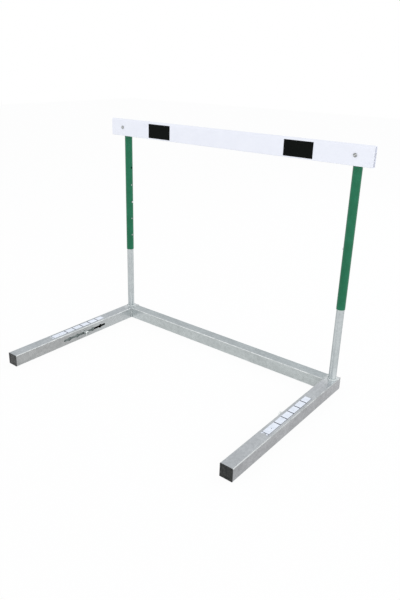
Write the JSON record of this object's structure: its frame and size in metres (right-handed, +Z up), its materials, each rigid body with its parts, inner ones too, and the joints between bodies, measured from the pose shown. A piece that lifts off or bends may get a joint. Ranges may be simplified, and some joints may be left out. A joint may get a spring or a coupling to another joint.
{
  "type": "track hurdle",
  "caption": "Athletics hurdle with a white board on height-adjustable green uprights and a square-tube base whose legs hold sliding counterweights.",
  "frame": {"origin": "on the ground, in the middle of the hurdle's footprint", "axes": "+X across to the hurdle's right as seen from its front, +Y from the front to the rear, where the uprights stand, +Z up"},
  "size_m": [1.18, 0.7, 0.9144],
  "materials": {
    "bright_tube": "brushed",
    "weld_metal": "satin",
    "green_paint": "semi-gloss",
    "white_board": "satin",
    "black_panel": "matte",
    "black_plastic": "matte",
    "label_film": "satin",
    "zinc_steel": "zinc plated",
    "bright_knob": "polished",
    "spring_steel": "bright",
    "dark_steel": "rough"
  },
  "bodies": {
    "base": {"base_crossbar": "bright_tube", "leg_left": "bright_tube", "leg_right": "bright_tube", "front_plug_left": "black_plastic", "front_plug_right": "black_plastic", "rear_plug_left": "black_plastic", "rear_plug_right": "black_plastic", "corner_weld_left": "weld_metal", "corner_weld_right": "weld_metal", "scale_label_left": "label_film", "scale_label_right": "label_film", "lower_tube_left": "bright_tube", "lower_tube_right": "bright_tube", "lower_tube_plug_left": "black_plastic", "lower_tube_plug_right": "black_plastic", "foot_weld_left": "weld_metal", "foot_weld_right": "weld_metal"},
    "upper": {"sleeve_left": "green_paint", "sleeve_right": "green_paint", "sleeve_plug_left": "black_plastic", "sleeve_plug_right": "black_plastic", "top_bar": "white_board", "bar_panel_left": "black_panel", "bar_panel_right": "black_panel", "bar_screw_left": "zinc_steel", "bar_screw_right": "zinc_steel", "bar_spacer_left": "white_board", "bar_spacer_right": "white_board", "bar_washer_left": "zinc_steel", "bar_washer_right": "zinc_steel", "bar_nut_left": "zinc_steel", "bar_nut_right": "zinc_steel"},
    "snap_left": {"snap_clip_left": "spring_steel"},
    "snap_right": {"snap_clip_right": "spring_steel"},
    "weight_left": {"counterweight_left": "dark_steel", "knob_collar_left": "zinc_steel"},
    "weight_right": {"counterweight_right": "dark_steel", "knob_collar_right": "zinc_steel"},
    "knob_left": {"knob_left": "bright_knob", "knob_spring_left": "spring_steel"},
    "knob_right": {"knob_right": "bright_knob", "knob_spring_right": "spring_steel"}
  },
  "joints": [
    {"name": "height_slide", "type": "slide", "parent": "base", "child": "upper", "axis": [0, 0, 1], "range_m": [-0.1524, 0.1524]},
    {"name": "button_left", "type": "slide", "parent": "base", "child": "snap_left", "axis": [-1, 0, 0], "range_m": [0, 0.0054], "stiffness_N_per_m": 1500, "deforming": ["snap_clip_left"]},
    {"name": "button_right", "type": "slide", "parent": "base", "child": "snap_right", "axis": [1, 0, 0], "range_m": [0, 0.0054], "stiffness_N_per_m": 1500, "deforming": ["snap_clip_right"]},
    {"name": "weight_slide_left", "type": "slide", "parent": "base", "child": "weight_left", "axis": [0, 1, 0], "range_m": [-0.0889, 0.0889]},
    {"name": "weight_slide_right", "type": "slide", "parent": "base", "child": "weight_right", "axis": [0, 1, 0], "range_m": [-0.0889, 0.0889]},
    {"name": "knob_pull_left", "type": "slide", "parent": "weight_left", "child": "knob_left", "axis": [1, 0, 0], "range_m": [0, 0.004], "stiffness_N_per_m": 2500, "deforming": ["knob_spring_left"]},
    {"name": "knob_pull_right", "type": "slide", "parent": "weight_right", "child": "knob_right", "axis": [-1, 0, 0], "range_m": [0, 0.004], "stiffness_N_per_m": 2500, "deforming": ["knob_spring_right"]}
  ]
}
